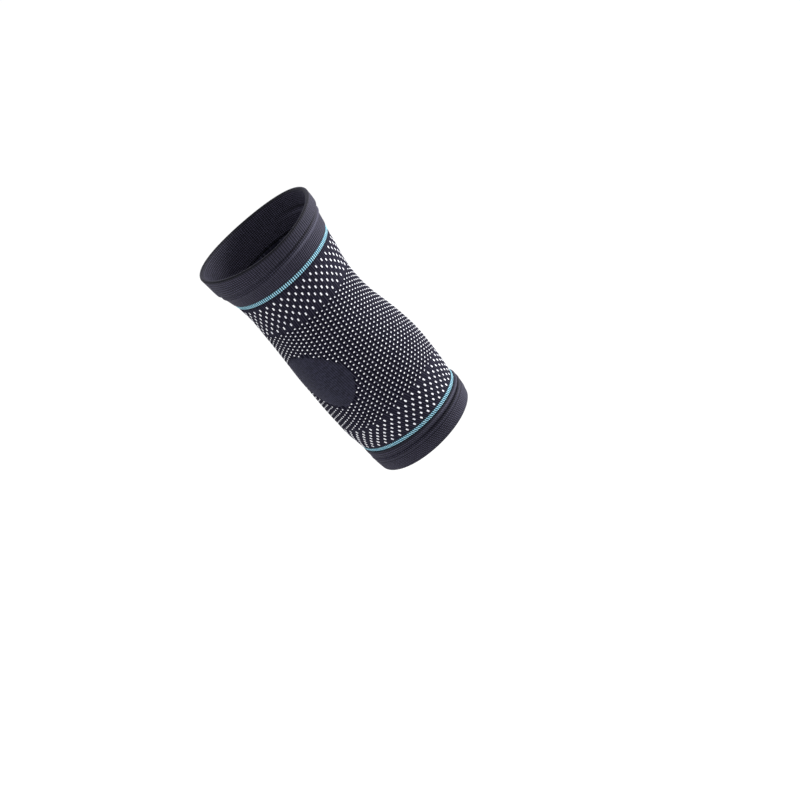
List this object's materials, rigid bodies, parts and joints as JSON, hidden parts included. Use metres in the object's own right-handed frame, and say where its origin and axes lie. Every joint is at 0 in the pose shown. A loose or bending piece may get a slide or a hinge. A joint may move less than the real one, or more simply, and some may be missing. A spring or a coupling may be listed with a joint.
{
  "type": "elbow brace",
  "caption": "Knitted compression sleeve for the elbow with doubled cuffs, a stripe beside each cuff, dotted knit between them and a plain patch over the elbow's tip.",
  "frame": {"origin": "on the arm's axis inside the sleeve, level with the tip of the elbow, where the arm holds it", "axes": "+Z along the arm to the shoulder, +X to the crook of the elbow, -X to its tip"},
  "size_m": [0.1117, 0.1052, 0.2247],
  "materials": {
    "cuff_knit": "matte ribbed knit",
    "stripe_knit": "matte knit",
    "dotted_knit": "matte knit with raised white dots",
    "patch_knit": "matte plain knit"
  },
  "bodies": {
    "root": {"upper_cuff": "cuff_knit", "upper_stripe": "stripe_knit", "sleeve_body": "dotted_knit", "elbow_patch": "patch_knit", "lower_stripe": "stripe_knit", "lower_cuff": "cuff_knit"}
  },
  "joints": []
}
